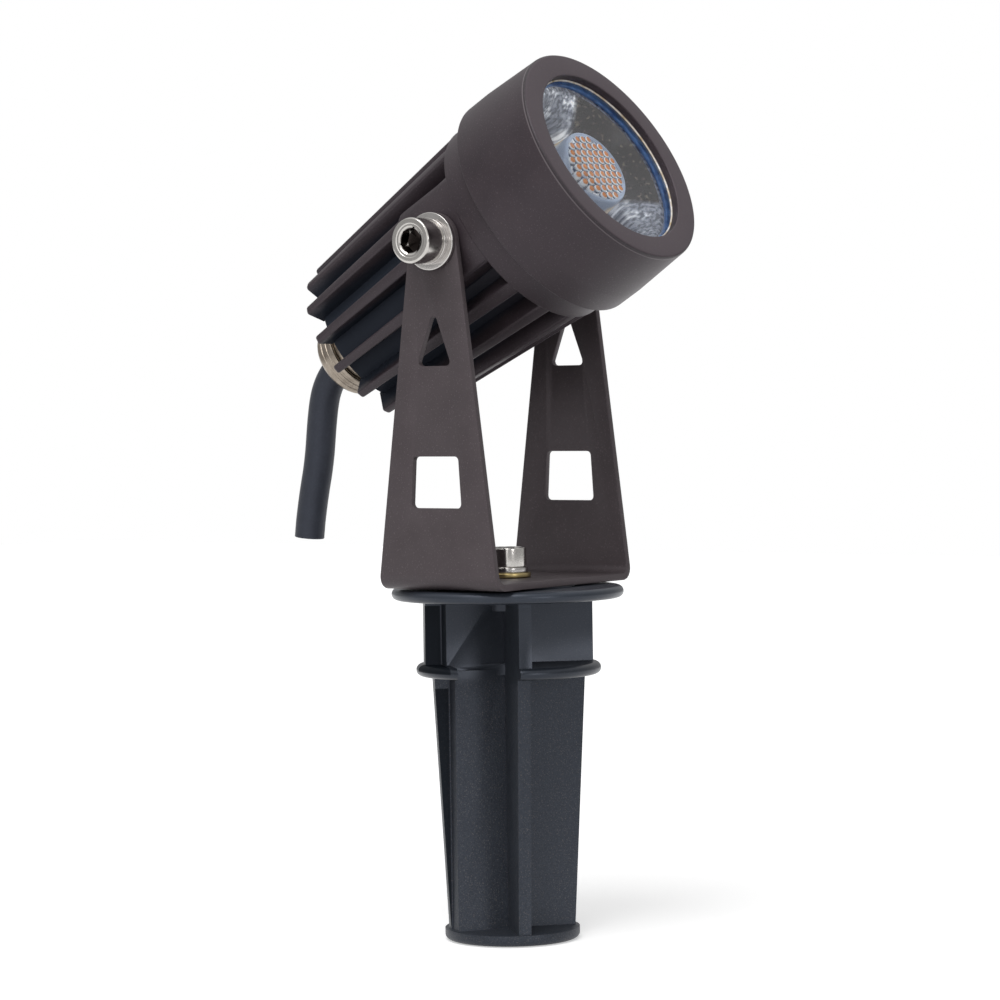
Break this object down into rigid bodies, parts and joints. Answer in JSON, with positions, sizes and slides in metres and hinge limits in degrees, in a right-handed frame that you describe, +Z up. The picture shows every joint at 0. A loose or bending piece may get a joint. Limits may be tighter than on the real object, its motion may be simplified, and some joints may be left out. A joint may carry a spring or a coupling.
{
  "type": "landscape spotlight",
  "caption": "Ground-stake spotlight: a finned round LED head that tilts in a bent steel bracket, which turns on a ribbed plastic stake with a foot disc.",
  "frame": {"origin": "centre of the underside of the stake's foot disc", "axes": "+Z up along the stake; the tilt axis is parallel to X; the beam points towards -Y and upwards; the cord hangs at +Y"},
  "size_m": [0.0678, 0.1011, 0.1932],
  "materials": {
    "stake_plastic": "black moulded plastic, finely textured below the ring",
    "insert_brass": "plain brass",
    "stainless": "polished stainless steel",
    "plated_washer": "yellow-passivated zinc",
    "bracket_paint": "satin brown-grey powder coat",
    "head_paint": "satin dark bronze powder coat",
    "clear_glass": "clear toughened glass with a bluish edge",
    "clear_gasket": "clear silicone",
    "lens_acrylic": "clear acrylic",
    "black_plastic": "black moulded plastic",
    "bare_aluminium": "turned aluminium",
    "small_steel": "zinc-plated steel",
    "thermal_silicone": "grey filled silicone",
    "board_white": "white solder mask",
    "emitter_phosphor": "yellow phosphor gel",
    "board_green": "green solder mask",
    "driver_black": "black component cases",
    "lead_red": "red insulation",
    "lead_black": "black insulation",
    "core_brown": "coloured insulation",
    "nickel_plate": "satin nickel plate over turned brass",
    "seal_rubber": "black seal rubber",
    "cord_rubber": "black rubber jacket"
  },
  "bodies": {
    "stake": {"stake": "stake_plastic", "stake_insert": "insert_brass", "base_screw": "stainless", "base_spring": "stainless", "base_washer": "plated_washer"},
    "bracket": {"bracket": "bracket_paint"},
    "head": {"housing": "head_paint", "bezel": "head_paint", "bezel_o_ring": "seal_rubber", "front_glass": "clear_glass", "glass_gasket": "clear_gasket", "lens": "lens_acrylic", "lens_holder": "black_plastic", "led_plate": "bare_aluminium", "plate_screws": "small_steel", "thermal_pad": "thermal_silicone", "cob_board": "board_white", "cob_emitter": "emitter_phosphor", "cob_screws": "small_steel", "driver_board": "board_green", "driver_parts": "driver_black", "led_lead_red": "lead_red", "led_lead_black": "lead_black", "supply_cores": "core_brown", "gland_washer": "seal_rubber", "gland_body": "nickel_plate", "gland_nut": "nickel_plate", "gland_seal": "seal_rubber", "cord_tail": "cord_rubber", "supply_cord": "cord_rubber", "pivot_screw_left": "stainless", "pivot_screw_right": "stainless", "pivot_spring_left": "stainless", "pivot_spring_right": "stainless", "pivot_washer_left": "stainless", "pivot_washer_right": "stainless"}
  },
  "joints": [
    {"name": "pan", "type": "hinge", "parent": "stake", "child": "bracket", "pos_m": [0, 0, 0.078], "axis": [0, 0, 1], "continuous": true},
    {"name": "tilt", "type": "hinge", "parent": "bracket", "child": "head", "pos_m": [0, 0, 0.1529], "axis": [-1, 0, 0], "range_deg": [-54, 18]}
  ]
}
